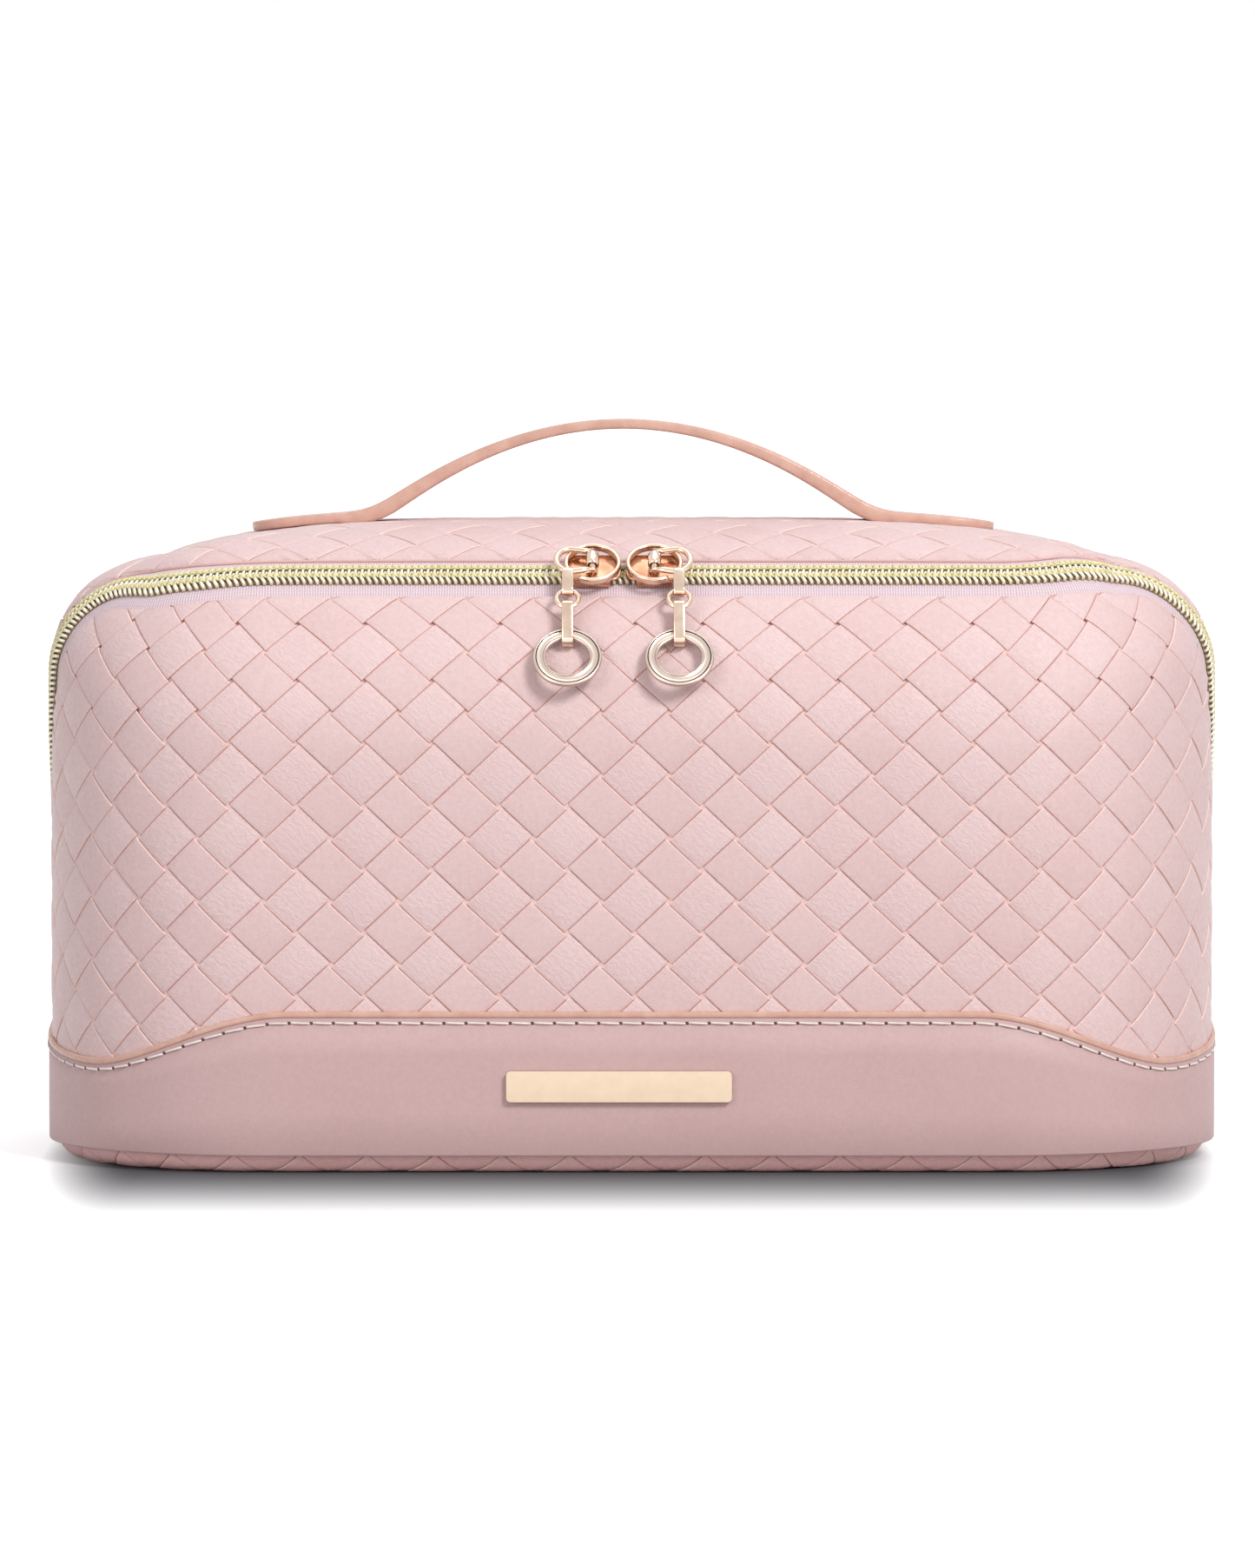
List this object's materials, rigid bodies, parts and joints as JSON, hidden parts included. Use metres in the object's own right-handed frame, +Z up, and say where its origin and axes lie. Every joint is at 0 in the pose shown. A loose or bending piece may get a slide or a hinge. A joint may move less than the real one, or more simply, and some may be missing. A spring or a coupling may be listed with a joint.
{
  "type": "makeup train case",
  "caption": "Soft rounded makeup train case with woven walls, a plain band, a wide-opening zipped lid on a low rear hinge, zip sliders with chain pulls and a strap handle.",
  "frame": {"origin": "middle of the footprint, on the surface that the case stands on", "axes": "X along the width, the front faces -Y, Z up"},
  "size_m": [0.2708, 0.1443, 0.1703],
  "materials": {
    "woven_leather": "pink basket-weave leather, satin",
    "band_leather": "smooth pink leather, satin",
    "strap_leather": "smooth pale pink leather with painted edges",
    "lining": "plain woven lining",
    "foam": "closed-cell foam between leather and lining",
    "board": "stiff floor board",
    "zip_tape": "ribbed lilac zip tape",
    "zip_coil": "pale gold coils",
    "pale_gold": "polished pale rose gold",
    "plate_gold": "satin pale gold",
    "pocket_cloth": "pocket cloth",
    "hem_elastic": "elastic hem"
  },
  "bodies": {
    "case_base": {"front_wall_panel": "woven_leather", "rear_sill_panel": "woven_leather", "bottom_panel": "woven_leather", "floor_board": "board", "floor_lining": "lining", "base_foam": "foam", "base_lining": "lining", "base_band": "band_leather", "blank_plate": "plate_gold", "zip_tape_base": "zip_tape", "zip_coil_base": "zip_coil", "zip_tab_left": "band_leather", "zip_tab_right": "band_leather", "hinge_strip_base": "band_leather"},
    "lid": {"lid_panel": "woven_leather", "lid_foam": "foam", "lid_lining": "lining", "zip_tape_lid": "zip_tape", "zip_coil_lid": "zip_coil", "hinge_strip_lid": "band_leather", "slip_pocket": "pocket_cloth", "pocket_hem": "hem_elastic", "handle_foot_left": "strap_leather", "handle_foot_right": "strap_leather"},
    "handle": {"handle_arch": "strap_leather"},
    "slider_left": {"slider_left": "pale_gold", "slider_crown_left": "pale_gold"},
    "pull_loop_left": {"pull_loop_left": "pale_gold"},
    "top_clip_left": {"top_clip_left": "pale_gold"},
    "small_ring_left": {"small_ring_left": "pale_gold"},
    "bar_link_left": {"bar_link_left": "pale_gold"},
    "pull_ring_left": {"pull_ring_left": "pale_gold"},
    "slider_right": {"slider_right": "pale_gold", "slider_crown_right": "pale_gold"},
    "pull_loop_right": {"pull_loop_right": "pale_gold"},
    "top_clip_right": {"top_clip_right": "pale_gold"},
    "small_ring_right": {"small_ring_right": "pale_gold"},
    "bar_link_right": {"bar_link_right": "pale_gold"},
    "pull_ring_right": {"pull_ring_right": "pale_gold"}
  },
  "joints": [
    {"name": "lid_hinge", "type": "hinge", "parent": "case_base", "child": "lid", "pos_m": [0, 0.0687, 0.024], "axis": [-1, 0, 0], "range_deg": [0, 95]},
    {"name": "handle_lean", "type": "hinge", "parent": "lid", "child": "handle", "pos_m": [-0.002, 0, 0.1515], "axis": [1, 0, 0], "range_deg": [-20, 20], "stiffness_Nm_per_rad": 0.05},
    {"name": "zip_slide_left", "type": "slide", "parent": "case_base", "child": "slider_left", "axis": [-1, 0, 0], "range_m": [0, 0.06]},
    {"name": "loop_flip_left", "type": "hinge", "parent": "slider_left", "child": "pull_loop_left", "pos_m": [-0.00895, -0.05332, 0.13855], "axis": [0, 0.7788, 0.6273], "range_deg": [0, 60]},
    {"name": "clip_swing_left", "type": "hinge", "parent": "pull_loop_left", "child": "top_clip_left", "pos_m": [-0.01455, -0.05705, 0.13553], "axis": [-1, 0, 0], "range_deg": [0, 25]},
    {"name": "ring_swing_left", "type": "hinge", "parent": "top_clip_left", "child": "small_ring_left", "pos_m": [-0.01455, -0.05982, 0.13186], "axis": [-1, 0, 0], "range_deg": [0, 25]},
    {"name": "bar_swing_left", "type": "hinge", "parent": "small_ring_left", "child": "bar_link_left", "pos_m": [-0.01455, -0.06323, 0.1282], "axis": [-1, 0, 0], "range_deg": [0, 25]},
    {"name": "pull_swing_left", "type": "hinge", "parent": "bar_link_left", "child": "pull_ring_left", "pos_m": [-0.01455, -0.06524, 0.12202], "axis": [-1, 0, 0], "range_deg": [0, 60]},
    {"name": "zip_slide_right", "type": "slide", "parent": "case_base", "child": "slider_right", "axis": [1, 0, 0], "range_m": [0, 0.06]},
    {"name": "loop_flip_right", "type": "hinge", "parent": "slider_right", "child": "pull_loop_right", "pos_m": [0.00515, -0.05332, 0.13855], "axis": [0, -0.7788, -0.6273], "range_deg": [0, 60]},
    {"name": "clip_swing_right", "type": "hinge", "parent": "pull_loop_right", "child": "top_clip_right", "pos_m": [0.01075, -0.05705, 0.13553], "axis": [-1, 0, 0], "range_deg": [0, 25]},
    {"name": "ring_swing_right", "type": "hinge", "parent": "top_clip_right", "child": "small_ring_right", "pos_m": [0.01075, -0.05982, 0.13186], "axis": [-1, 0, 0], "range_deg": [0, 25]},
    {"name": "bar_swing_right", "type": "hinge", "parent": "small_ring_right", "child": "bar_link_right", "pos_m": [0.01075, -0.06323, 0.1282], "axis": [-1, 0, 0], "range_deg": [0, 25]},
    {"name": "pull_swing_right", "type": "hinge", "parent": "bar_link_right", "child": "pull_ring_right", "pos_m": [0.01075, -0.06524, 0.12202], "axis": [-1, 0, 0], "range_deg": [0, 60]}
  ]
}
